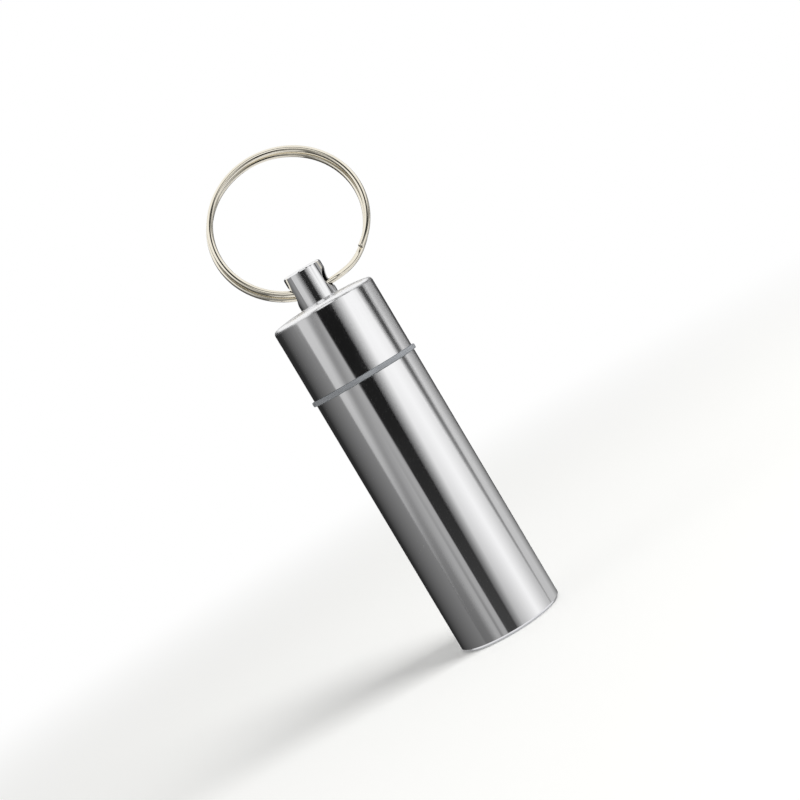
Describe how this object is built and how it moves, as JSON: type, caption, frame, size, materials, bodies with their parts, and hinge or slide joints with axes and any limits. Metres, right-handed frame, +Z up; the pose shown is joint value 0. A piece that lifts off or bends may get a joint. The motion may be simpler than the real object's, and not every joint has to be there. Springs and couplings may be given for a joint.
{
  "type": "pill fob keychain",
  "caption": "Slim round metal pill tube with a screw cap, a grey washer seal and a cross-drilled post that carries a split key ring; the cap unscrews and the ring swings.",
  "frame": {"origin": "centre of the tube's flat base", "axes": "+Z up the tube's axis to the key ring; +X along the post's cross hole; the ring leans towards +Y"},
  "size_m": [0.0252, 0.0203, 0.0816],
  "materials": {
    "tube_metal": "polished",
    "cap_metal": "polished",
    "post_metal": "polished",
    "gasket_rubber": "matte",
    "ring_wire": "nickel plated"
  },
  "bodies": {
    "tube": {"tube": "tube_metal"},
    "gasket": {"gasket": "gasket_rubber"},
    "cap": {"cap": "cap_metal", "key_post": "post_metal"},
    "ring": {"split_ring": "ring_wire"}
  },
  "joints": [
    {"name": "cap_turn", "type": "hinge", "parent": "tube", "child": "gasket", "pos_m": [0, 0, 0.04333], "axis": [0, 0, 1], "range_deg": [0, 2160]},
    {"name": "cap_lift", "type": "slide", "parent": "gasket", "child": "cap", "axis": [0, 0, 1], "range_m": [0, 0.00901]},
    {"name": "ring_swing", "type": "hinge", "parent": "cap", "child": "ring", "pos_m": [0, 0, 0.05915], "axis": [1, 0, 0], "range_deg": [-43, 117]}
  ],
  "couplings": [
    {"joint": "cap_lift", "follows": "cap_turn", "m_per_rad": 0.00023873}
  ]
}
